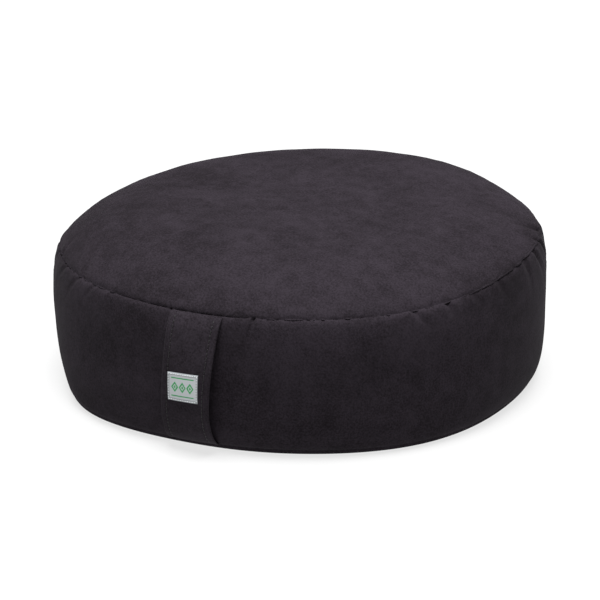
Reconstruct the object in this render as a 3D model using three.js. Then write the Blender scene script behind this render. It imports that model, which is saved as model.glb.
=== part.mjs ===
// A round meditation cushion. A top disc, a side band and a bottom disc of suede cloth are sewn into a
// boxed cover and stuffed firm, a carry strap is caught in the top and bottom seams, and a small woven
// label is sewn to the strap. Millimetres, +Z up, the strap at the front (-Y), the base on z = 0.
// Azimuths are in degrees round the cushion, from the front (-Y) towards +X.
import * as THREE from "three";

// Filled cover: the sizes of a cushion turned true, before its unevenness.
const WIDEST_RADIUS = 203; // half of a 16 in cushion, at the fullest line of the side band
const TOP_SEAM = { radius: 196.5, height: 115.5, tilt: 40, crease: 2.4 }; // tilt: how far it faces upwards
const BOTTOM_SEAM = { radius: 194, height: 4, tilt: -50, crease: 1 }; // tucked under by the weight
const CROWN_HEIGHT = 146; // middle of the top panel
const CROWN_POWER = 6; // a high power keeps the top panel flat until it rounds down to its seam
const BAND_POWER = 3.4; // a high power keeps the band upright until the seams draw it in
const BASE_RADIUS = 185; // the part of the bottom panel that lies flat
const AXIS_SHIFT = { x: -0.85, y: 5.2 }; // brings the middle of the whole object to the origin

const CREASE_REACH = 9; // the thread pulls each seam into a shallow crease, this wide on either side

// Hand stuffing leaves the cover a little out of round. Each row is one wave round the cushion: what it
// changes, how often it repeats, how much it adds and the azimuth where it adds most.
const WAVES = [
  { changes: "plan", lobes: 2, size: 2, towards: 6.5 },
  { changes: "plan", lobes: 3, size: 1.2, towards: 75 },
  { changes: "topSeam", lobes: 1, size: 5.6, towards: 115 },
  { changes: "topSeam", lobes: 2, size: 1.4, towards: 136 },
  { changes: "crown", lobes: 2, size: 3.5, towards: 165 },
  { changes: "gathers", lobes: 19, size: 0.5, towards: 7 },
  { changes: "gathers", lobes: 27, size: 0.7, towards: 3 },
  { changes: "gathers", lobes: 35, size: 0.6, towards: 8 },
];

// Places where the filling has settled: the azimuth, and how far it pushes out, or draws in below zero.
const SWELLINGS = [
  { changes: "foot", at: -65, size: -9 },
  { changes: "foot", at: -35, size: 5.7 },
  { changes: "foot", at: -5, size: -2 },
  { changes: "foot", at: 25, size: -3 },
  { changes: "foot", at: 55, size: 2 },
  { changes: "foot", at: 85, size: -3.4 },
  { changes: "foot", at: 115, size: 1.8 },
  { changes: "topSeam", at: 95, size: 4.5 },
  { changes: "topSeam", at: -13, size: 2.2 },
];
const SWELLING_SPREAD = 22;
const FOOT_TOP = 0.2; // the foot's swelling fades out a little above the middle of the band

const GATHER_REACH = 20; // how far the gathers run from a seam before they die out
const GATHER_CLEAR = { from: 9, to: 15 }; // either side of the strap, where the seams lie flat

// Carry strap: a folded strip of the same cloth, slack enough for fingers.
const STRAP_WIDTH = 43;
const STRAP_THICKNESS = 2.6;
const STRAP_END_THICKNESS = 1.1; // pressed flat where the seams catch it
const STRAP_END_LENGTH = 0.09; // share of the strap over which it thins to its ends
const STRAP_REACH = 0.985; // how far up and down the band it runs, 1 being the seams
const STRAP_SLACK = 6.6; // how far it stands off the band
const STRAP_SLACK_PLACE = 0.6; // share of the way down where it stands off most
const STRAP_SLACK_SPREAD = 0.9;
const STRAP_TWIST = 0.45; // its +X edge stands off by this share more, its other edge by as much less
const STRAP_LEAN = { top: 1.9, bottom: 0.1 }; // azimuths of its two ends

// Woven label, sewn flat on the strap.
const LABEL_WIDTH = 27;
const LABEL_LENGTH = 22.5;
const LABEL_THICKNESS = 1;
const LABEL_ASIDE = -1; // from the strap's middle
const LABEL_PLACE = 0.51; // share of the way down the strap
const LABEL_TURN = 4; // degrees out of line with the strap, as sewn by hand

const SEWN_GAP = 0.5; // between two pieces that are sewn together

const AZIMUTH_STEPS = 144;
const HEEL_STEPS = 4;
const BAND_STEPS = 14;
const CROWN_STEPS = 11;
const STRAP_STEPS = { across: 8, along: 30 };
const LABEL_STEPS = { across: 6, along: 5 };

const SUEDE = new THREE.MeshStandardMaterial({ color: 0x3a333a, roughness: 0.95, metalness: 0 });
const LABEL_WEAVE = new THREE.MeshStandardMaterial({ color: 0xd3d7d9, roughness: 0.7, metalness: 0 });

const { degToRad, radToDeg, lerp, clamp, smoothstep, euclideanModulo } = THREE.MathUtils;

function turnFrom(start, azimuth) {
  return euclideanModulo(azimuth - start + 180, 360) - 180;
}

// All that the waves and swellings of one kind add at an azimuth.
function uneven(changes, azimuth) {
  const wave = ({ lobes, size, towards }) => size * Math.cos(degToRad(lobes * (azimuth - towards)));
  const swelling = ({ at, size }) => size * Math.exp(-((turnFrom(at, azimuth) / SWELLING_SPREAD) ** 2));
  const ofKind = (row) => row.changes === changes;
  const parts = [...WAVES.filter(ofKind).map(wave), ...SWELLINGS.filter(ofKind).map(swelling)];
  return parts.reduce((sum, part) => sum + part, 0);
}

function gathers(azimuth) {
  const fromStrap = Math.abs(turnFrom(0, azimuth));
  return smoothstep(fromStrap, GATHER_CLEAR.from, GATHER_CLEAR.to) * uneven("gathers", azimuth);
}

// A station is a place on the turned outline, drawn in by the crease of the nearer seam, with its share
// of each kind of unevenness.
function station(radius, height, shares) {
  const seam = height > (TOP_SEAM.height + BOTTOM_SEAM.height) / 2 ? TOP_SEAM : BOTTOM_SEAM;
  const distance = Math.hypot(radius - seam.radius, height - seam.height);
  const crease = seam.crease * Math.max(0, 1 - distance / CREASE_REACH) ** 2;
  return {
    radius: radius - crease * Math.cos(degToRad(seam.tilt)),
    height: height - crease * Math.sin(degToRad(seam.tilt)),
    gatherShare: Math.max(0, 1 - distance / GATHER_REACH) ** 2,
    ...shares,
  };
}

// Bottom panel, rounding up from the flat base: turn goes from 0 at the floor to 1 at the bottom seam.
function heel(turn) {
  const angle = (turn * Math.PI) / 2;
  const radius = lerp(BASE_RADIUS, BOTTOM_SEAM.radius, Math.sin(angle));
  const height = BOTTOM_SEAM.height * (1 - Math.cos(angle));
  return station(radius, height, { seamShare: 0, crownShare: 0, footShare: 1 });
}

// Side band: rise goes from -1 at the bottom seam to 1 at the top seam.
function band(rise) {
  const seam = rise > 0 ? TOP_SEAM : BOTTOM_SEAM;
  const radius = lerp(WIDEST_RADIUS, seam.radius, Math.abs(rise) ** BAND_POWER);
  const upward = (1 + rise) / 2;
  const footShare = clamp((FOOT_TOP - rise) / (FOOT_TOP + 1), 0, 1) ** 2;
  const height = lerp(BOTTOM_SEAM.height, TOP_SEAM.height, upward);
  return station(radius, height, { seamShare: upward, crownShare: 0, footShare });
}

// Top panel: inset goes from 0 at the top seam to 1 at the middle.
function crown(inset) {
  const outward = 1 - inset;
  const drop = outward ** CROWN_POWER;
  const height = lerp(CROWN_HEIGHT, TOP_SEAM.height, drop);
  const shares = { seamShare: drop, crownShare: outward * (1 - drop), footShare: 0 };
  return station(TOP_SEAM.radius * outward, height, shares);
}

// The point of the finished cushion for a station of its outline.
function place(stop, azimuth) {
  const plan = 1 + uneven("plan", azimuth) / WIDEST_RADIUS;
  const out = stop.radius + stop.footShare * uneven("foot", azimuth) + stop.gatherShare * gathers(azimuth);
  const rise = stop.seamShare * uneven("topSeam", azimuth) + stop.crownShare * uneven("crown", azimuth);
  return new THREE.Vector3(
    AXIS_SHIFT.x + plan * out * Math.sin(degToRad(azimuth)),
    AXIS_SHIFT.y - plan * out * Math.cos(degToRad(azimuth)),
    stop.height + rise,
  );
}

// Shares of the way from 0 to 1, each eased so that rows crowd where the outline bends.
function shares(count, ease) {
  return Array.from({ length: count }, (_, index) => ease((index + 1) / count));
}

function filledCover() {
  const evenly = (share) => share;
  const crowdSeams = (share) => -Math.cos(share * Math.PI);
  const crowdSeam = (share) => 1 - Math.cos((share * Math.PI) / 2);
  const baseMiddle = { ...heel(0), radius: 0, footShare: 0, gatherShare: 0 };
  const outline = [
    baseMiddle,
    heel(0),
    ...shares(HEEL_STEPS, evenly).map(heel),
    ...shares(BAND_STEPS, crowdSeams).map(band),
    ...shares(CROWN_STEPS - 1, (share) => crowdSeam((share * (CROWN_STEPS - 1)) / CROWN_STEPS)).map(crown),
    { ...crown(1), radius: 0 },
  ];
  const points = outline.map(({ radius, height }) => new THREE.Vector2(radius, height));
  const geometry = new THREE.LatheGeometry(points, AZIMUTH_STEPS);
  const position = geometry.getAttribute("position");
  for (let turn = 0; turn <= AZIMUTH_STEPS; turn++) {
    const azimuth = (360 * (turn % AZIMUTH_STEPS)) / AZIMUTH_STEPS;
    outline.forEach((stop, row) => {
      const { x, y, z } = place(stop, azimuth);
      position.setXYZ(turn * outline.length + row, x, y, z);
    });
  }
  return geometry;
}

// A point on the strap: aside in mm from its middle line, down from 0 at the top seam to 1 at the bottom
// seam, and lift in mm out from its inner face.
function onStrap(aside, down, lift) {
  const wall = band(lerp(STRAP_REACH, -STRAP_REACH, down));
  const skewed = down ** (Math.log(0.5) / Math.log(STRAP_SLACK_PLACE));
  const twist = 1 + (STRAP_TWIST * aside) / (STRAP_WIDTH / 2);
  const slack = STRAP_SLACK * twist * Math.sin(Math.PI * skewed) ** STRAP_SLACK_SPREAD;
  const radius = wall.radius + SEWN_GAP + slack + lift;
  const lean = lerp(STRAP_LEAN.top, STRAP_LEAN.bottom, down);
  return place({ ...wall, radius, gatherShare: 0 }, lean + radToDeg(aside / radius));
}

function strapThickness(down) {
  const full = smoothstep(Math.min(down, 1 - down), 0, STRAP_END_LENGTH);
  return lerp(STRAP_END_THICKNESS, STRAP_THICKNESS, full);
}

// A flat sheet that is bent point by point: aside in mm, outward from 0 to 1 through its thickness, and
// down from 0 to 1 along its length.
function bentSheet(width, { across, along }, bend) {
  const geometry = new THREE.BoxGeometry(width, 1, 1, across, 1, along);
  const position = geometry.getAttribute("position");
  for (let index = 0; index < position.count; index++) {
    const outward = 0.5 - position.getY(index);
    const down = 0.5 - position.getZ(index);
    const { x, y, z } = bend(position.getX(index), outward, down);
    position.setXYZ(index, x, y, z);
  }
  return geometry;
}

function carryStrap() {
  const bend = (aside, outward, down) => onStrap(aside, down, outward * strapThickness(down));
  return bentSheet(STRAP_WIDTH, STRAP_STEPS, bend);
}

function label() {
  const strapLength = STRAP_REACH * (TOP_SEAM.height - BOTTOM_SEAM.height);
  const bend = (aside, outward, down) => {
    const turned = new THREE.Vector2(aside, (down - 0.5) * LABEL_LENGTH);
    turned.rotateAround(new THREE.Vector2(), -degToRad(LABEL_TURN));
    const lift = STRAP_THICKNESS + SEWN_GAP + outward * LABEL_THICKNESS;
    return onStrap(LABEL_ASIDE + turned.x, LABEL_PLACE + turned.y / strapLength, lift);
  };
  return bentSheet(LABEL_WIDTH, LABEL_STEPS, bend);
}

function piece(name, geometry, material) {
  const mesh = new THREE.Mesh(geometry, material);
  mesh.name = name;
  return mesh;
}

const zafu = new THREE.Group();
zafu.add(
  piece("cushion", filledCover(), SUEDE),
  piece("carry_strap", carryStrap(), SUEDE),
  piece("label", label(), LABEL_WEAVE),
);

export default zafu;
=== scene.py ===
import math

import bpy
import numpy as np
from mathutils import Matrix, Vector, noise


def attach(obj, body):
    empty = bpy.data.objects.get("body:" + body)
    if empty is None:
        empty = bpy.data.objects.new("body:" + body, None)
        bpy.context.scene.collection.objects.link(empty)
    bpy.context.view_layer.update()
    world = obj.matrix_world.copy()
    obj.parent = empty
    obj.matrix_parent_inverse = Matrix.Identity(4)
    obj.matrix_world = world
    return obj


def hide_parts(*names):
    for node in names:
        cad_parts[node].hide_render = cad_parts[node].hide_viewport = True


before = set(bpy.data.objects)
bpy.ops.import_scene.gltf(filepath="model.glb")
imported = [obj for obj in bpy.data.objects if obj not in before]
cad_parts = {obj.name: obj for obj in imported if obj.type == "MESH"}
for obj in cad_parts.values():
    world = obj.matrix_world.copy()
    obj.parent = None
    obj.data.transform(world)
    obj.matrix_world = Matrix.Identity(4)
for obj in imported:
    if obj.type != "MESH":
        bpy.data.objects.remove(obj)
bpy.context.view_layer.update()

# Filled cover.
# A top disc, a side band and a bottom disc of micro-suede, a matt polyester cloth with a short brushed
# nap, are sewn edge to edge and stuffed firm with fibre. The stuffing is a little uneven, and the thread
# draws the seams in and gathers the cloth along them.
MM = 0.001
WIDEST_RADIUS = 203 * MM
TOP_SEAM = {
    "radius": 196.5 * MM,
    "height": 114.4 * MM,
    "tilt": math.radians(40),
    "crease": 1.5 * MM,
    "fold": 1.7 * MM,
}
BOTTOM_SEAM = {
    "radius": 194 * MM,
    "height": 4 * MM,
    "tilt": math.radians(-50),
    "crease": 1 * MM,
    "fold": 0.8 * MM,
}
CROWN_HEIGHT = 146 * MM
CROWN_POWER = 6
BAND_POWER = 3.4
BASE_RADIUS = 185 * MM
AXIS = Vector((-0.85 * MM, 5.2 * MM, 0))

# How far from a seam the cloth is drawn in, and how far its sharp fold reaches.
CREASE_REACH = 6.5 * MM
FOLD_REACH = 0.7 * MM

# Unevenness of the stuffing: what a row changes, by how much, and where. Azimuths are in degrees from the
# front, where the strap is, towards +X.
WAVES = [
    {"changes": "plan", "lobes": 2, "size": 2 * MM, "towards": 6.5},
    {"changes": "plan", "lobes": 3, "size": 1.2 * MM, "towards": 75},
    {"changes": "top_seam", "lobes": 1, "size": 5.6 * MM, "towards": 115},
    {"changes": "top_seam", "lobes": 2, "size": 1.4 * MM, "towards": 136},
    {"changes": "crown", "lobes": 2, "size": 3.5 * MM, "towards": 165},
]
SWELLINGS = [
    {"changes": "foot", "at": -65, "size": -11 * MM},
    {"changes": "foot", "at": -35, "size": 8.8 * MM},
    {"changes": "foot", "at": -5, "size": -4 * MM},
    {"changes": "foot", "at": 25, "size": -2.4 * MM},
    {"changes": "foot", "at": 55, "size": 3.2 * MM},
    {"changes": "foot", "at": 85, "size": -2.6 * MM},
    {"changes": "foot", "at": 115, "size": 3.2 * MM},
    {"changes": "top_seam", "at": 95, "size": 4.5 * MM},
    {"changes": "top_seam", "at": -13, "size": 2.2 * MM},
    {"changes": "top_seam", "at": 24, "size": 1.3 * MM},
    {"changes": "top_seam", "at": 50, "size": -1.9 * MM},
]

# Degrees that a swelling spreads over, and the rise of the band at which those of the foot end.
SWELLING_SPREAD = 22
FOOT_TOP = 0.2

# Steps of the mesh, finest at the seams and on the side that the camera sees.
COLUMNS = 720
CROWDED = {"towards": 25, "turn": 18}
SEAM_STEP = 0.35 * MM
STEP_GROWTH = 1.22
WIDEST_STEP = 4.5 * MM
HEEL_ROWS = 6


def turn_from(start, azimuth):
    return (azimuth - start + 180) % 360 - 180


def uneven(changes, azimuth):
    total = np.zeros_like(azimuth)
    for row in WAVES:
        if row["changes"] == changes:
            total += row["size"] * np.cos(np.radians(row["lobes"] * (azimuth - row["towards"])))
    for row in SWELLINGS:
        if row["changes"] == changes:
            total += row["size"] * np.exp(-((turn_from(row["at"], azimuth) / SWELLING_SPREAD) ** 2))
    return total


def station(radius, height, seam_share, crown_share, foot_share):
    """A place on the turned outline, drawn in by the crease of the nearer seam."""
    seam = TOP_SEAM if height > (TOP_SEAM["height"] + BOTTOM_SEAM["height"]) / 2 else BOTTOM_SEAM
    distance = math.hypot(radius - seam["radius"], height - seam["height"])
    crease = seam["crease"] * max(0, 1 - distance / CREASE_REACH) ** 2
    crease += seam["fold"] * math.exp(-distance / FOLD_REACH)
    return {
        "radius": radius - crease * math.cos(seam["tilt"]),
        "height": height - crease * math.sin(seam["tilt"]),
        "seam_share": seam_share,
        "crown_share": crown_share,
        "foot_share": foot_share,
    }


def heel(turn):
    angle = turn * math.pi / 2
    radius = BASE_RADIUS + (BOTTOM_SEAM["radius"] - BASE_RADIUS) * math.sin(angle)
    return station(radius, BOTTOM_SEAM["height"] * (1 - math.cos(angle)), 0, 0, 1)


def band(rise):
    seam = TOP_SEAM if rise > 0 else BOTTOM_SEAM
    radius = WIDEST_RADIUS + (seam["radius"] - WIDEST_RADIUS) * abs(rise) ** BAND_POWER
    upward = (1 + rise) / 2
    height = BOTTOM_SEAM["height"] + (TOP_SEAM["height"] - BOTTOM_SEAM["height"]) * upward
    foot_share = min(max((FOOT_TOP - rise) / (FOOT_TOP + 1), 0), 1) ** 2
    return station(radius, height, upward, 0, foot_share)


def crown(inset):
    outward = 1 - inset
    drop = outward**CROWN_POWER
    height = CROWN_HEIGHT + (TOP_SEAM["height"] - CROWN_HEIGHT) * drop
    return station(TOP_SEAM["radius"] * outward, height, drop, outward * (1 - drop), 0)


def place(stop, azimuth):
    """Points of the finished cushion at a station of its outline, for an array of azimuths."""
    plan = 1 + uneven("plan", azimuth) / WIDEST_RADIUS
    out = plan * (stop["radius"] + stop["foot_share"] * uneven("foot", azimuth))
    up = stop["height"] + stop["seam_share"] * uneven("top_seam", azimuth)
    up = up + stop["crown_share"] * uneven("crown", azimuth)
    turn = np.radians(azimuth)
    return np.stack([AXIS.x + out * np.sin(turn), AXIS.y - out * np.cos(turn), up], -1)


def growing_steps(length):
    """Places from 0 to length whose steps grow away from the seam at 0."""
    places = [0.0]
    step = SEAM_STEP
    while places[-1] < length:
        places.append(places[-1] + step)
        step = min(step * STEP_GROWTH, WIDEST_STEP)
    return np.array(places) * (length / places[-1])


half_band = (TOP_SEAM["height"] - BOTTOM_SEAM["height"]) / 2
from_seam = growing_steps(half_band) / half_band
outline = [heel(0)]
outline += [heel(turn) for turn in np.linspace(0, 1, HEEL_ROWS)[1:-1]]
outline += [band(rise) for rise in -1 + from_seam]
outline += [band(rise) for rise in (1 - from_seam)[::-1][1:]]
seam_row = len(outline) - 1
outline += [crown(inset) for inset in growing_steps(TOP_SEAM["radius"])[1:-1] / TOP_SEAM["radius"]]
azimuths = np.arange(COLUMNS) * 360 / COLUMNS
azimuths = azimuths - CROWDED["turn"] * np.sin(np.radians(azimuths - CROWDED["towards"]))
rings = np.array([place(stop, azimuths) for stop in outline])
profile = np.array([(stop["radius"], stop["height"]) for stop in outline])
run = np.concatenate([[0], np.cumsum(np.linalg.norm(np.diff(profile, axis=0), axis=1))])
above_seam = run - run[seam_row]

# The top seam is gathered more in some places than in others, and not at all behind the strap.
GATHERED = [
    {"at": 88, "spread": 26, "share": 1.0},
    {"at": 54, "spread": 9, "share": 0.7},
    {"at": -40, "spread": 17, "share": 0.75},
    {"at": -85, "spread": 20, "share": 0.6},
    {"at": 150, "spread": 30, "share": 0.6},
    {"at": 215, "spread": 40, "share": 0.5},
]
PLAIN_GATHER = 0.3
STRAP_CLEAR = {"middle": 1, "from": 8, "to": 13}
FREE_REACH = {"below": 26 * MM, "above": 30 * MM}
HELD_REACH = {"below": 44 * MM, "above": 52 * MM}
HELD_MARGIN = 4 * MM
GATHER_FADE = {"from": 2 * MM, "to": 20 * MM}
EXTRA_CLOTH = 0.09
MOST_MOVEMENT = 3.2 * MM
START_WRINKLE = {"size": 7 * MM, "height": 0.25 * MM}
SIMULATED_FRAMES = 20


def smooth_share(value, start, end):
    share = np.clip((value - start) / (end - start), 0, 1)
    return share * share * (3 - 2 * share)


turn_from_strap = np.abs(turn_from(STRAP_CLEAR["middle"], azimuths))
from_strap = smooth_share(turn_from_strap, STRAP_CLEAR["from"], STRAP_CLEAR["to"])
gathered = np.full(COLUMNS, PLAIN_GATHER)
for row in GATHERED:
    gathered += row["share"] * np.exp(-((turn_from(row["at"], azimuths) / row["spread"]) ** 2))
gathered = np.clip(gathered, 0, 1) * from_strap


def ring_quads(rings):
    """Numbers of the points in rings, those of their next neighbours, and the quads between the rings."""
    rows, columns = rings.shape[:2]
    index = np.arange(rows * columns).reshape(rows, columns)
    after = np.roll(index, -1, 1)
    quads = np.stack([index[:-1], after[:-1], after[1:], index[1:]], -1).reshape(-1, 4)
    return index, after, quads.tolist()


def new_piece(name, points, faces):
    mesh = bpy.data.meshes.new(name)
    mesh.from_pydata(points.tolist(), [], faces)
    piece = bpy.data.objects.new(name, mesh)
    bpy.context.collection.objects.link(piece)
    return piece


def weigh(piece, name, weights):
    group = piece.vertex_groups.new(name=name)
    for index, weight in enumerate(weights.ravel().tolist()):
        group.add([index], weight, "REPLACE")
    return group.name


near = np.flatnonzero((above_seam > -HELD_REACH["below"]) & (above_seam < HELD_REACH["above"]))
start = rings[near]
away = np.abs(above_seam[near])
below = above_seam[near] < 0
free_reach = np.where(below, FREE_REACH["below"], FREE_REACH["above"])
held_reach = np.where(below, HELD_REACH["below"], HELD_REACH["above"])
held = smooth_share(away, free_reach, held_reach - HELD_MARGIN)
held[away < SEAM_STEP / 2] = 1
loose = (1 - held)[:, None, None]
wrinkle_size = START_WRINKLE["size"]
wrinkle = [[noise.noise_vector(Vector(point) / wrinkle_size) for point in ring] for ring in start]
wrinkled = start + START_WRINKLE["height"] * loose * np.array(wrinkle)
strip = new_piece("seam_strip", wrinkled.reshape(-1, 3), ring_quads(start)[2])
cloth = strip.modifiers.new("Cloth", "CLOTH")
held_group = weigh(strip, "held", np.repeat(held[:, None], COLUMNS, 1))
fade = 1 - smooth_share(away, GATHER_FADE["from"], GATHER_FADE["to"])
gathered_group = weigh(strip, "gathered", fade[:, None] * gathered[None, :])
cloth.settings.vertex_group_mass = held_group
cloth.settings.vertex_group_shrink = gathered_group
cloth.settings.shrink_min = 0
cloth.settings.shrink_max = -EXTRA_CLOTH
cloth.settings.quality = 6
cloth.settings.mass = 0.2
cloth.settings.tension_stiffness = 20
cloth.settings.compression_stiffness = 20
cloth.settings.shear_stiffness = 8
cloth.settings.bending_stiffness = 0.3
cloth.settings.use_pressure = True
cloth.settings.uniform_pressure_force = 4
cloth.settings.effector_weights.gravity = 0
cloth.collision_settings.use_collision = False
cloth.point_cache.frame_start = 1
cloth.point_cache.frame_end = SIMULATED_FRAMES
for frame_number in range(1, SIMULATED_FRAMES + 1):
    bpy.context.scene.frame_set(frame_number)
bpy.ops.object.select_all(action="DESELECT")
bpy.context.view_layer.objects.active = strip
strip.select_set(True)
bpy.ops.object.modifier_apply(modifier=cloth.name)
settled = np.empty(start.size)
strip.data.vertices.foreach_get("co", settled)
moved = settled.reshape(start.shape) - start
reach = np.linalg.norm(moved, axis=2, keepdims=True)
moved *= MOST_MOVEMENT / np.maximum(reach, MOST_MOVEMENT)
rings[near] = start + loose * from_strap[None, :, None] * moved
bpy.data.objects.remove(strip)
bpy.context.scene.frame_set(1)

# Creases that show, listed one by one: azimuth on the seam, side of the seam (-1 below it, 1 above), then in
# millimetres how far from the seam they start and how far they run, half width and depth. They drift round
# the cushion by a share of their way from the seam.
CREASES = [
    {"at": -4.6, "side": -1, "start": 0, "length": 12, "width": 1.3, "depth": 2.2, "drift": -0.2},
    {"at": 15.1, "side": -1, "start": 0, "length": 19, "width": 1.4, "depth": 3.4, "drift": -0.25},
    {"at": 20, "side": -1, "start": 0, "length": 8, "width": 1.7, "depth": 0.6, "drift": 0.1},
    {"at": 27, "side": -1, "start": 0, "length": 10, "width": 1.9, "depth": 0.7, "drift": 0.1},
    {"at": 33, "side": -1, "start": 0, "length": 11, "width": 2, "depth": 0.8, "drift": 0.2},
    {"at": 39, "side": -1, "start": 0, "length": 9, "width": 2, "depth": 0.7, "drift": -0.2},
    {"at": 51.5, "side": -1, "start": 2, "length": 16, "width": 3.4, "depth": 2.2, "drift": 0.7},
    {"at": 60, "side": -1, "start": 2, "length": 16, "width": 3.2, "depth": 2.2, "drift": 0.5},
    {"at": 56, "side": 1, "start": 0, "length": 15, "width": 3.2, "depth": 1.4, "drift": 0.5},
    {"at": 67, "side": -1, "start": 0, "length": 20, "width": 3.5, "depth": 1.5, "drift": 0.6},
    {"at": 76, "side": -1, "start": 0, "length": 24, "width": 3.8, "depth": 1.8, "drift": 0.5},
    {"at": 84, "side": 1, "start": 0, "length": 22, "width": 4, "depth": 1.5, "drift": 0.4},
    {"at": 89, "side": -1, "start": 0, "length": 34, "width": 4.5, "depth": 2.2, "drift": 0.3},
    {"at": 96, "side": -1, "start": 2, "length": 44, "width": 3.6, "depth": 2.8, "drift": 0.8},
    {"at": 102, "side": 1, "start": 1, "length": 24, "width": 3.4, "depth": 2.8, "drift": -0.3},
    {"at": 103, "side": -1, "start": 2, "length": 46, "width": 3.4, "depth": 3.2, "drift": 1.2},
    {"at": 109, "side": 1, "start": 3, "length": 34, "width": 5, "depth": 3.2, "drift": -0.6},
    {"at": 115, "side": -1, "start": 0, "length": 30, "width": 4.5, "depth": 2.4, "drift": -0.5},
    {"at": -22, "side": -1, "start": 1, "length": 14, "width": 2, "depth": 1.2, "drift": -0.5},
    {"at": -29, "side": -1, "start": 1, "length": 24, "width": 3, "depth": 1.4, "drift": -0.7},
    {"at": -35, "side": 1, "start": 0, "length": 16, "width": 2.8, "depth": 1.2, "drift": -0.5},
    {"at": -37, "side": -1, "start": 3, "length": 28, "width": 3.4, "depth": 1.2, "drift": -0.8},
    {"at": -46, "side": -1, "start": 3, "length": 30, "width": 4, "depth": 1.2, "drift": -0.9},
    {"at": -53, "side": 1, "start": 2, "length": 24, "width": 3.5, "depth": 1.8, "drift": -0.4},
    {"at": -57, "side": -1, "start": 3, "length": 36, "width": 3.8, "depth": 1.4, "drift": -1},
    {"at": -65, "side": -1, "start": 3, "length": 36, "width": 4, "depth": 1.2, "drift": -1.2},
    {"at": -78, "side": -1, "start": 3, "length": 26, "width": 3.8, "depth": 1.2, "drift": -0.3},
    {"at": 135, "side": -1, "start": 0, "length": 20, "width": 3, "depth": 1.6, "drift": 0.3},
    {"at": 160, "side": -1, "start": 0, "length": 18, "width": 3, "depth": 1.5, "drift": -0.3},
    {"at": 188, "side": -1, "start": 0, "length": 22, "width": 3.4, "depth": 1.8, "drift": 0.2},
    {"at": 221, "side": -1, "start": 0, "length": 20, "width": 3, "depth": 1.7, "drift": -0.4},
    {"at": 248, "side": -1, "start": 0, "length": 24, "width": 3.5, "depth": 1.9, "drift": 0.3},
]
CREASE_SCALE = 1.35
LIP = 0.45
LIP_SPREAD = 2.3
CREASE_FADE_POWER = 1.5
CREASE_START_FADE = 1.2

# The seam opens and closes from stitch to stitch, and in places the stuffing fills it out.
SEAM_PULL = {"spacing": 3.4 * MM, "noise_row": (0.3, 0.7), "height": 2.2 * MM, "reach": 1.1}
SEAM_FILLED = [
    {"at": 28, "spread": 22, "height": 1.1 * MM},
    {"at": 55, "spread": 13, "height": 1.2 * MM},
    {"at": 74, "spread": 10, "height": 2.2 * MM},
    {"at": 88, "spread": 9, "height": 1 * MM},
    {"at": 102, "spread": 16, "height": 3 * MM},
    {"at": -72, "spread": 30, "height": 3.4 * MM},
    {"at": -24, "spread": 17, "height": 0.9 * MM},
]
FILLED_FOLD_SHARE = 0.6
FILLED_CREASE = {"share": 0.5, "reach": 3.2}

# Lumps of the fibre all round, which are pressed flat behind the strap and end above the foot.
LUMPS = [{"size": 70 * MM, "height": 0.7 * MM}, {"size": 24 * MM, "height": 0.4 * MM}]
LUMPS_AT_STRAP = 0.1
FLAT_FOOT = {"from": 2 * MM, "to": 22 * MM}

# Places where the stuffing is fuller or slacker: middle, size and how far out it pushes the cover.
FULLNESS = [
    {"at": (-183, -86, 42), "size": 22, "out": -0.5},
    {"at": (-182, -82, 90), "size": 24, "out": 0.8},
    {"at": (183, 87, 34), "size": 20, "out": -1.5},
    {"at": (160, 100, 126), "size": 28, "out": 1.1},
    {"at": (55, 152, 137), "size": 60, "out": 1.3},
    {"at": (-138, 86, 136), "size": 40, "out": 1.2},
]


def nearness(rings, row):
    """Shares from 1 at a row's place down to 0 far from it, over its size."""
    reach = np.linalg.norm(rings - np.array(AXIS) - np.array(row["at"]) * MM, axis=2)
    return np.exp(-((reach / (row["size"] * MM)) ** 2))


def outward_of(rings):
    along = np.roll(rings, -1, 1) - np.roll(rings, 1, 1)
    normal = np.cross(along, np.gradient(rings, axis=0))
    return normal / np.linalg.norm(normal, axis=2, keepdims=True)


raised = np.zeros(rings.shape[:2])
folded = np.zeros(rings.shape[:2])
for row in CREASES:
    away = above_seam[:, None] * row["side"] / MM - row["start"]
    round_seam = np.radians(turn_from(row["at"], azimuths))[None, :] * WIDEST_RADIUS / MM
    aside = round_seam - row["drift"] * away
    trough = np.exp(-((aside / row["width"]) ** 2))
    lips = LIP * np.exp(-((aside / (LIP_SPREAD * row["width"])) ** 2))
    run_out = np.clip(1 - away / row["length"], 0, 1) ** CREASE_FADE_POWER
    fade = np.where(away >= 0, run_out, np.exp(-((away / CREASE_START_FADE) ** 2)))
    raised += CREASE_SCALE * row["depth"] * MM * (lips - trough) * fade
    folded += row["depth"] * trough * fade
pulls = [
    noise.noise(Vector((turn * WIDEST_RADIUS / SEAM_PULL["spacing"], *SEAM_PULL["noise_row"])))
    for turn in np.radians(azimuths)
]
filled = np.zeros(COLUMNS)
for row in SEAM_FILLED:
    filled += row["height"] * np.exp(-((turn_from(row["at"], azimuths) / row["spread"]) ** 2))
fold_filled = SEAM_PULL["height"] * np.clip(pulls, 0, 1) + FILLED_FOLD_SHARE * filled
in_fold = np.exp(-((above_seam / MM / SEAM_PULL["reach"]) ** 2))
raised += in_fold[:, None] * np.minimum(fold_filled, TOP_SEAM["fold"])[None, :]
in_crease = np.exp(-np.abs(above_seam / MM / FILLED_CREASE["reach"]))
raised += in_crease[:, None] * np.minimum(FILLED_CREASE["share"] * filled, TOP_SEAM["crease"])[None, :]
for row in LUMPS:
    waves = np.array([[noise.noise(Vector(point) / row["size"]) for point in ring] for ring in rings])
    raised += row["height"] * waves * (LUMPS_AT_STRAP + (1 - LUMPS_AT_STRAP) * from_strap[None, :])
for row in FULLNESS:
    raised += row["out"] * MM * nearness(rings, row)
raised *= smooth_share(rings[:, :, 2], FLAT_FOOT["from"], FLAT_FOOT["to"])
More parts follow.
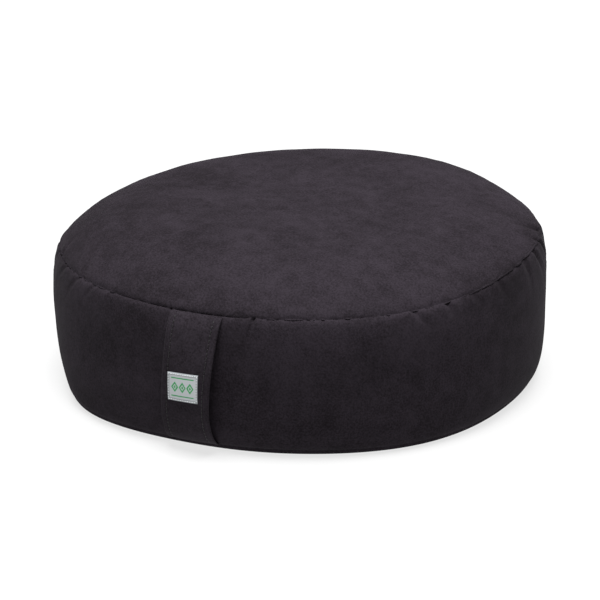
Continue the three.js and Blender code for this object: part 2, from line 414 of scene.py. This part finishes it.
rings = rings + raised[:, :, None] * outward_of(rings)


def ringed_mesh(name, rings, ends):
    """A closed mesh of rings of points, with a middle point at its first and last ring."""
    index, after, faces = ring_quads(rings)
    first = index.size
    last = first + 1
    faces += [(first, near, far) for near, far in zip(after[0], index[0])]
    faces += [(last, near, far) for near, far in zip(index[-1], after[-1])]
    piece = new_piece(name, np.concatenate([rings.reshape(-1, 3), ends]), faces)
    piece.data.shade_smooth()
    return piece


# Paler and darker patches in the suede's colour: place, size and how much paler it looks. Some are nap
# brushed the other way, some are painted shade, darker on the left of the top as if the light came from the
# right, and some are painted light, paler beside the strap where its shadow falls.
PAINTED_LIGHT_AND_NAP_MARKS = [
    {"at": (-126, -126, 128), "size": 34, "paler": -0.05},
    {"at": (-102, -92, 143), "size": 40, "paler": -0.035},
    {"at": (-50, -154, 138), "size": 30, "paler": -0.035},
    {"at": (-96, 15, 144), "size": 50, "paler": -0.025},
    {"at": (-152, -32, 135), "size": 45, "paler": -0.04},
    {"at": (195, -31, 112), "size": 20, "paler": -0.12},
    {"at": (175, 9, 131), "size": 26, "paler": -0.04},
    {"at": (182, -74, 118), "size": 14, "paler": -0.06},
    {"at": (174, 67, 127), "size": 16, "paler": -0.09},
    {"at": (-53, -197, 90), "size": 22, "paler": -0.07},
    {"at": (71, -158, 132), "size": 40, "paler": 0.035},
    {"at": (104, 75, 144), "size": 60, "paler": 0.03},
    {"at": (-70, 182, 119), "size": 50, "paler": 0.03},
    {"at": (164, -119, 94), "size": 24, "paler": 0.05},
    {"at": (114, -168, 84), "size": 26, "paler": 0.035},
    {"at": (24, -197, 22), "size": 16, "paler": 0.06},
    {"at": (-67, -193, 36), "size": 30, "paler": 0.04},
    {"at": (78, -184, 104), "size": 30, "paler": 0.035},
]

# Painted shade in the folds: the colour is darkened in each crease, by this much for each millimetre of its
# depth.
FOLD_SHADE = -0.035
nap_lie = FOLD_SHADE * folded
# The painted light and shade of the marks goes into the same layer as the painted shade of the folds.
for row in PAINTED_LIGHT_AND_NAP_MARKS:
    nap_lie += row["paler"] * nearness(rings, row)

base_middle = (AXIS.x, AXIS.y, 0)
crown_middle = rings[-1].mean(0)
cushion = ringed_mesh("filled_cover", rings, np.array([base_middle, crown_middle]))
# The painted shade of the folds and the painted light and shade of the marks are kept on the points for the
# suede's colour.
painted_shade_layer = cushion.data.attributes.new("nap_lie", "FLOAT", "POINT")
painted_shade_layer.data.foreach_set("value", np.append(nap_lie.ravel(), [0, 0]))


def linear(code):
    """A hex sRGB colour as linear red, green, blue and alpha."""
    shares = [int(code[start:start + 2], 16) / 255 for start in (1, 3, 5)]
    return [share / 12.92 if share <= 0.04045 else ((share + 0.055) / 1.055) ** 2.4 for share in shares] + [1]


def add_node(tree, kind, sockets=None, links=None, **settings):
    node = tree.nodes.new(kind)
    for name, value in settings.items():
        setattr(node, name, value)
    for name, value in (sockets or {}).items():
        node.inputs[name].default_value = value
    for name, source in (links or {}).items():
        tree.links.new(source, node.inputs[name])
    return node


# Mottling of the suede, from broad to fine. The last is the nap, drawn coarser than its fibres so that it
# shows.
MOTTLES = [
    {"size": 46 * MM, "roughness": 0.5, "share": 0.24},
    {"size": 11 * MM, "roughness": 0.5, "share": 0.22},
    {"size": 1.5 * MM, "roughness": 0.6, "share": 0.54},
]
MOTTLE_DETAIL = 2
SHADE_SPAN = (0.38, 0.62)
NAP_HEIGHT = 0.4 * MM


def micro_suede(name, dark, light):
    """Brushed polyester suede: matt, mottled where the nap lies different ways, with the painted shade and
    light of its points added in, and paler at a low angle.
    """
    material = bpy.data.materials.new(name)
    material.use_nodes = True
    tree = material.node_tree
    shader = tree.nodes["Principled BSDF"]
    place_on = add_node(tree, "ShaderNodeTexCoord").outputs["Object"]
    # The shade starts from the painted shade of the folds and the painted light and shade of the marks, kept
    # on the points.
    shade = add_node(tree, "ShaderNodeAttribute", attribute_name="nap_lie").outputs["Fac"]
    for row in MOTTLES:
        sockets = {"Scale": 1 / row["size"], "Detail": MOTTLE_DETAIL, "Roughness": row["roughness"]}
        mottle = add_node(tree, "ShaderNodeTexNoise", sockets, {"Vector": place_on}).outputs["Fac"]
        weight = {1: row["share"]}
        links = {0: mottle, 2: shade}
        shade = add_node(tree, "ShaderNodeMath", weight, links, operation="MULTIPLY_ADD").outputs[0]
    shades = add_node(tree, "ShaderNodeValToRGB", links={"Fac": shade})
    for element, position, code in zip(shades.color_ramp.elements, SHADE_SPAN, (dark, light)):
        element.position = position
        element.color = linear(code)
    tree.links.new(shades.outputs["Color"], shader.inputs["Base Color"])
    bump = add_node(tree, "ShaderNodeBump", {"Strength": 0.35, "Distance": NAP_HEIGHT}, {"Height": mottle})
    tree.links.new(bump.outputs["Normal"], shader.inputs["Normal"])
    shader.inputs["Roughness"].default_value = 0.95
    shader.inputs["Specular IOR Level"].default_value = 0.1
    shader.inputs["Sheen Weight"].default_value = 0.012
    shader.inputs["Sheen Roughness"].default_value = 0.45
    shader.inputs["Sheen Tint"].default_value = linear("#b9b0bc")
    return material


cushion.data.materials.append(micro_suede("micro-suede", "#181418", "#2a252b"))
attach(cushion, "root")
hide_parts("cushion")

# Carry strap.
# A strip of the same micro-suede, folded to two layers and topstitched along both edges. Its ends are
# caught in the top and bottom seams, and it is slack enough in between for fingers.
STRAP_WIDTH = 43 * MM
STRAP_THICKNESS = 2.6 * MM
STRAP_END_THICKNESS = 1.1 * MM
STRAP_END_LENGTH = 0.09
STRAP_REACH = 0.985

# The strap stands off most at a share of the way down it, and more at one edge than at the other. It leans
# from one azimuth at the top to another at the bottom.
STRAP_SLACK = 6.6 * MM
STRAP_SLACK_PLACE = 0.6
STRAP_SLACK_SPREAD = 0.9
STRAP_TWIST = 0.45
STRAP_LEAN = {"top": 1.9, "bottom": 0.1}

SEWN_GAP = 0.5 * MM
STRAP_ROWS = 96
STRAP_FACE_POINTS = 44
STRAP_EDGE_POINTS = 5
STRAP_PUFF = 0.35 * MM
STITCH_INSET = 5.5 * MM
STITCH_SINK = 0.5 * MM
STITCH_SINK_REACH = 1.1 * MM


def strap_slack(down):
    skewed = down ** (math.log(0.5) / math.log(STRAP_SLACK_PLACE))
    return STRAP_SLACK * max(math.sin(math.pi * skewed), 0) ** STRAP_SLACK_SPREAD


def strap_thickness(down):
    share = min(min(down, 1 - down) / STRAP_END_LENGTH, 1)
    full = share * share * (3 - 2 * share)
    return STRAP_END_THICKNESS + (STRAP_THICKNESS - STRAP_END_THICKNESS) * full


def on_strap(aside, down, lift):
    """Points on the strap: aside from its middle line, down its length, and lift out from its inner face."""
    wall = band(STRAP_REACH * (1 - 2 * down))
    twist = 1 + STRAP_TWIST * aside / (STRAP_WIDTH / 2)
    radius = wall["radius"] + SEWN_GAP + strap_slack(down) * twist + lift
    lean = STRAP_LEAN["top"] + (STRAP_LEAN["bottom"] - STRAP_LEAN["top"]) * down
    points = [
        place({**wall, "radius": reach}, np.array([lean + math.degrees(side / reach)]))[0]
        for side, reach in zip(aside, radius)
    ]
    return np.array(points)


def rounded_section(width, thickness, face_points, edge_points):
    """Aside and lift of the points round a flat section with rounded edges, its outer face first."""
    edge = thickness / 2
    flat = width / 2 - edge
    across = np.linspace(-flat, flat, face_points)
    angles = np.linspace(math.pi / 2, -math.pi / 2, edge_points + 2)[1:-1]
    edge_out = edge * np.cos(angles)
    edge_up = edge * np.sin(angles)
    aside = np.concatenate([across, flat + edge_out, across[::-1], -flat - edge_out])
    outer_face = np.full_like(across, thickness)
    lift = np.concatenate([outer_face, edge + edge_up, np.zeros_like(across), edge - edge_up])
    return aside, lift


def strap_section(down):
    """The strap's section, with its outer face puffed a little and sunk along the stitch lines."""
    thickness = strap_thickness(down)
    aside, lift = rounded_section(STRAP_WIDTH, thickness, STRAP_FACE_POINTS, STRAP_EDGE_POINTS)
    across = aside[:STRAP_FACE_POINTS]
    fullness = thickness / STRAP_THICKNESS
    from_stitch = np.abs(np.abs(across) - (STRAP_WIDTH / 2 - STITCH_INSET))
    puff = STRAP_PUFF * np.cos(np.pi * across / STRAP_WIDTH)
    sunk = STITCH_SINK * np.exp(-((from_stitch / STITCH_SINK_REACH) ** 2))
    lift[:STRAP_FACE_POINTS] += fullness * (puff - sunk)
    return aside, lift


def sheet_mesh(name, sections):
    """A closed sheet through its sections, which run down it."""
    rings = sections[::-1]
    return ringed_mesh(name, rings, np.array([rings[0].mean(0), rings[-1].mean(0)]))


strap_rings = []
for down in np.linspace(0, 1, STRAP_ROWS):
    aside, lift = strap_section(down)
    strap_rings.append(on_strap(aside, down, lift))
strap_rings = np.array(strap_rings)
strap = sheet_mesh("carry_strap_cloth", strap_rings)
strap.data.materials.append(micro_suede("strap micro-suede", "#191519", "#2c272d"))
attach(strap, "root")
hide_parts("carry_strap")

# Strap topstitching.
# A row of dark polyester thread along each edge of the strap, in stitches of about 3 mm, which sinks a
# little into the nap. Each stitch is a short rounded bar, lower at its two ends where it goes into the cloth.
STITCH_LENGTH = 2.5 * MM
STITCH_PITCH = 3.3 * MM
STITCH_MARGIN = 4 * MM
STITCH_ARCH = 0.3 * MM
STITCH_POINTS = 6
THREAD_RADIUS = 0.35 * MM
THREAD_SIDES = 6
THREAD_TAPER = 0.94
strap_run = STRAP_REACH * (TOP_SEAM["height"] - BOTTOM_SEAM["height"])


def bar_rings(path, radius):
    """Rings of a thread along a path of points, narrowed to its two ends."""
    forward = np.gradient(path, axis=0)
    forward /= np.linalg.norm(forward, axis=1, keepdims=True)
    side = np.cross(forward, path - np.array([AXIS.x, AXIS.y, path[0, 2]]))
    side /= np.linalg.norm(side, axis=1, keepdims=True)
    out = np.cross(side, forward)
    width = radius * np.sqrt(1 - np.linspace(-THREAD_TAPER, THREAD_TAPER, len(path)) ** 4)
    angles = np.arange(THREAD_SIDES) * 2 * math.pi / THREAD_SIDES
    spokes = np.cos(angles)[None, :, None] * side[:, None] + np.sin(angles)[None, :, None] * out[:, None]
    return path[:, None] + width[:, None, None] * spokes


def stitched(name, paths, radius, material):
    """One object of many short threads, each along its own path."""
    threads = [ringed_mesh(name, bar_rings(path, radius), path[[0, -1]]) for path in paths]
    bpy.ops.object.select_all(action="DESELECT")
    for thread in threads:
        thread.select_set(True)
    bpy.context.view_layer.objects.active = threads[0]
    bpy.ops.object.join()
    threads[0].name = name
    threads[0].data.materials.append(material)
    return threads[0]


def polyester_thread(name, colour):
    """Twisted polyester thread, with a slight shine on the rounded top of each stitch."""
    material = bpy.data.materials.new(name)
    material.use_nodes = True
    shader = material.node_tree.nodes["Principled BSDF"]
    shader.inputs["Base Color"].default_value = linear(colour)
    shader.inputs["Roughness"].default_value = 0.6
    return material


stitch_shares = np.linspace(-0.5, 0.5, STITCH_POINTS)
stitch_paths = []
for edge_side in (-1, 1):
    line = edge_side * (STRAP_WIDTH / 2 - STITCH_INSET)
    for middle_of_stitch in np.arange(STITCH_MARGIN, strap_run - STITCH_MARGIN, STITCH_PITCH):
        points = []
        for share in stitch_shares:
            down = (middle_of_stitch + share * STITCH_LENGTH) / strap_run
            arch = STITCH_ARCH * math.cos(math.pi * share)
            lift = strap_thickness(down) + STRAP_PUFF / 2 - STITCH_SINK + arch
            points.append(on_strap(np.array([line]), down, np.array([lift]))[0])
        stitch_paths.append(np.array(points))
dark_thread = polyester_thread("dark polyester thread", "#0a080a")
topstitching = stitched("strap_topstitching", stitch_paths, THREAD_RADIUS, dark_thread)
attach(topstitching, "root")

# Woven label.
# A small label of white polyester damask with a green figure woven in. Its ends are folded under, and it is
# sewn flat on the strap, a few degrees out of line with it.
LABEL_WIDTH = 27 * MM
LABEL_LENGTH = 22.5 * MM
LABEL_THICKNESS = 0.9 * MM
LABEL_ASIDE = -1 * MM
LABEL_PLACE = 0.51
LABEL_TURN = math.radians(4)
LABEL_ROWS = 24
LABEL_FACE_POINTS = 30
LABEL_EDGE_POINTS = 3
label_cos = math.cos(LABEL_TURN)
label_sin = math.sin(LABEL_TURN)


def on_label(aside, along, lift):
    """Points on the label: aside and along from its middle, and lift out from its inner face."""
    turned_aside = LABEL_ASIDE + aside * label_cos + along * label_sin
    down = LABEL_PLACE + (along * label_cos - aside * label_sin) / strap_run
    reach = STRAP_THICKNESS + SEWN_GAP + lift
    points = [
        on_strap(np.array([side]), step_down, np.array([out]))[0]
        for side, step_down, out in zip(turned_aside, down, reach)
    ]
    return np.array(points)


label_aside, label_lift = rounded_section(LABEL_WIDTH, LABEL_THICKNESS, LABEL_FACE_POINTS, LABEL_EDGE_POINTS)
label_rings = []
label_places = []
for share in np.linspace(-0.5, 0.5, LABEL_ROWS):
    label_along = np.full_like(label_aside, share * LABEL_LENGTH)
    label_rings.append(on_label(label_aside, label_along, label_lift))
    label_places.append(np.stack([label_aside / MM, -label_along / MM, 0 * label_aside], -1))
label = sheet_mesh("woven_label", np.array(label_rings))
woven = label.data.attributes.new("woven", "FLOAT_VECTOR", "POINT")
end_places = np.array([[0, -LABEL_LENGTH / MM / 2, 0], [0, LABEL_LENGTH / MM / 2, 0]])
woven_places = np.concatenate([np.array(label_places)[::-1].reshape(-1, 3), end_places])
woven.data.foreach_set("vector", woven_places.ravel())

# The woven figure, in millimetres from the label's middle. A lozenge is a ring and a core, as shares of the
# way from its middle to its edge, and all of it is drawn in steps of a few threads.
LOZENGES = 3
LOZENGE = {"half_width": 3.4, "half_height": 4.6, "ring": 0.74, "ring_half": 0.2, "core": 0.3}
LINE_PLACE = 7.2
LINE_HALF = 0.5
BORDER = 1.7
BORDER_SHADE = 0.5
WOVEN_STEP = 0.3
WARP_SPACING = 0.6
WEFT_SPACING = 0.45
WEAVE_HEIGHT = 0.1 * MM


def damask_weave(name, ground, border, figure):
    """Damask label cloth: white satin ground and a row of green lozenges between two lines, in fine steps."""
    material = bpy.data.materials.new(name)
    material.use_nodes = True
    tree = material.node_tree
    shader = tree.nodes["Principled BSDF"]
    place_on = add_node(tree, "ShaderNodeAttribute", attribute_name="woven").outputs["Vector"]
    parts = add_node(tree, "ShaderNodeSeparateXYZ", links={"Vector": place_on})
    steps = [
        ("across", "SNAP", "x", WOVEN_STEP),
        ("snapped", "SNAP", "y", WOVEN_STEP),
        ("along", "ABSOLUTE", "snapped"),
        ("to_side", "ABSOLUTE", "across"),
        ("repeated", "PINGPONG", "across", LOZENGE["half_width"]),
        ("share_across", "DIVIDE", "repeated", LOZENGE["half_width"]),
        ("share_along", "DIVIDE", "along", LOZENGE["half_height"]),
        ("lozenge", "ADD", "share_across", "share_along"),
        ("ring", "COMPARE", "lozenge", LOZENGE["ring"], LOZENGE["ring_half"]),
        ("core", "LESS_THAN", "lozenge", LOZENGE["core"]),
        ("lines", "COMPARE", "along", LINE_PLACE, LINE_HALF),
        ("in_row", "LESS_THAN", "to_side", LOZENGE["half_width"] * LOZENGES),
        ("lozenges", "MAXIMUM", "ring", "core"),
        ("figure", "MAXIMUM", "lozenges", "lines"),
        ("green", "MULTIPLY", "figure", "in_row"),
        ("at_side", "GREATER_THAN", "to_side", LABEL_WIDTH / MM / 2 - BORDER),
        ("at_end", "GREATER_THAN", "along", LABEL_LENGTH / MM / 2 - BORDER),
        ("at_border", "MAXIMUM", "at_side", "at_end"),
        ("shade", "MULTIPLY_ADD", "at_border", BORDER_SHADE, "green"),
        ("warp_turn", "MULTIPLY", "x", 2 * math.pi / WARP_SPACING),
        ("weft_turn", "MULTIPLY", "y", 2 * math.pi / WEFT_SPACING),
        ("warp_ridge", "SINE", "warp_turn"),
        ("weft_ridge", "SINE", "weft_turn"),
        ("ridges", "MULTIPLY", "warp_ridge", "weft_ridge"),
    ]
    made = {"x": parts.outputs["X"], "y": parts.outputs["Y"]}
    for result, operation, *inputs in steps:
        links = {socket: made[value] for socket, value in enumerate(inputs) if value in made}
        sockets = {socket: value for socket, value in enumerate(inputs) if value not in made}
        made[result] = add_node(tree, "ShaderNodeMath", sockets, links, operation=operation).outputs[0]
    shades = add_node(tree, "ShaderNodeValToRGB", links={"Fac": made["shade"]})
    shades.color_ramp.elements[0].color = linear(ground)
    shades.color_ramp.elements[1].color = linear(figure)
    shades.color_ramp.elements.new(BORDER_SHADE).color = linear(border)
    tree.links.new(shades.outputs["Color"], shader.inputs["Base Color"])
    relief = {"Height": made["ridges"]}
    bump = add_node(tree, "ShaderNodeBump", {"Strength": 0.5, "Distance": WEAVE_HEIGHT}, relief)
    tree.links.new(bump.outputs["Normal"], shader.inputs["Normal"])
    shader.inputs["Roughness"].default_value = 0.6
    return material


label.data.materials.append(damask_weave("damask label weave", "#b4b8bb", "#85898c", "#1a9148"))
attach(label, "root")
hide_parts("label")

# Label stitching.
# White polyester thread in short stitches close inside the label's four edges, which hold it to the strap.
# Each is a short rounded bar, as on the strap.
LABEL_STITCH_INSET = 0.9 * MM
LABEL_STITCH_LENGTH = 1.5 * MM
LABEL_STITCH_PITCH = 2.1 * MM
LABEL_STITCH_MARGIN = 0.5 * MM
LABEL_STITCH_LIFT = 0.1 * MM
LABEL_THREAD_RADIUS = 0.33 * MM
half_width = LABEL_WIDTH / 2 - LABEL_STITCH_INSET
half_length = LABEL_LENGTH / 2 - LABEL_STITCH_INSET
stitch_lift = np.full(STITCH_POINTS, LABEL_THICKNESS + LABEL_STITCH_LIFT)
label_stitch_paths = []
for edge_side in (-1, 1):
    for middle_of_stitch in np.arange(-half_length + LABEL_STITCH_MARGIN, half_length, LABEL_STITCH_PITCH):
        along = middle_of_stitch + stitch_shares * LABEL_STITCH_LENGTH
        label_stitch_paths.append(on_label(np.full_like(along, edge_side * half_width), along, stitch_lift))
    for middle_of_stitch in np.arange(-half_width + LABEL_STITCH_MARGIN, half_width, LABEL_STITCH_PITCH):
        aside = middle_of_stitch + stitch_shares * LABEL_STITCH_LENGTH
        label_stitch_paths.append(on_label(aside, np.full_like(aside, edge_side * half_length), stitch_lift))
white_thread = polyester_thread("white polyester thread", "#d2d6d8")
label_stitching = stitched("label_stitching", label_stitch_paths, LABEL_THREAD_RADIUS, white_thread)
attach(label_stitching, "root")

# Studio floor and light.
# A white floor under one broad soft light from above, as for a catalogue picture. The floor glows a little,
# so that it stays white up to the soft shadow of the cushion.
FLOOR_SIZE = 30
bpy.ops.object.select_all(action="DESELECT")
bpy.ops.mesh.primitive_plane_add(size=FLOOR_SIZE)
floor = bpy.context.active_object
floor.name = "floor"
white_floor = bpy.data.materials.new("lit white table")
white_floor.use_nodes = True
floor_shader = white_floor.node_tree.nodes["Principled BSDF"]
floor_shader.inputs["Base Color"].default_value = (0.145, 0.145, 0.145, 1)
floor_shader.inputs["Roughness"].default_value = 1
floor_shader.inputs["Specular IOR Level"].default_value = 0
floor_shader.inputs["Emission Color"].default_value = (1, 1, 1, 1)
floor_shader.inputs["Emission Strength"].default_value = 0.74
floor.data.materials.append(white_floor)

bpy.ops.object.light_add(type="SUN", rotation=(math.radians(3), math.radians(2), 0))
soft_light = bpy.context.active_object
soft_light.data.energy = 7.75
soft_light.data.angle = math.radians(40)
world = bpy.data.worlds.new("studio")
bpy.context.scene.world = world
world.use_nodes = True
world.node_tree.nodes["Background"].inputs["Color"].default_value = (1, 1, 1, 1)
world.node_tree.nodes["Background"].inputs["Strength"].default_value = 0.05
bpy.context.scene.view_settings.view_transform = "Standard"

# Camera, at the picture's angle: low and to the right of the strap, far off with a long lens.
CAMERA_AZIMUTH = math.radians(25.5)
CAMERA_ELEVATION = math.radians(20.3)
CAMERA_DISTANCE = 2.2
CAMERA_LENS = 160.14
AIM_HEIGHT = 60 * MM
AIM_LEFT = 0.85 * MM
AIM_DOWN = 3.15 * MM
back = Vector((
    math.sin(CAMERA_AZIMUTH) * math.cos(CAMERA_ELEVATION),
    -math.cos(CAMERA_AZIMUTH) * math.cos(CAMERA_ELEVATION),
    math.sin(CAMERA_ELEVATION),
))
right = Vector((math.cos(CAMERA_AZIMUTH), math.sin(CAMERA_AZIMUTH), 0))
middle = AXIS + Vector((0, 0, AIM_HEIGHT))
aim = middle - right * AIM_LEFT - back.cross(right) * AIM_DOWN
stand = middle + back * CAMERA_DISTANCE
bpy.ops.object.camera_add(location=stand, rotation=(aim - stand).to_track_quat("-Z", "Y").to_euler())
camera = bpy.context.active_object
camera.data.lens = CAMERA_LENS
camera.data.sensor_width = 36
bpy.context.scene.camera = camera
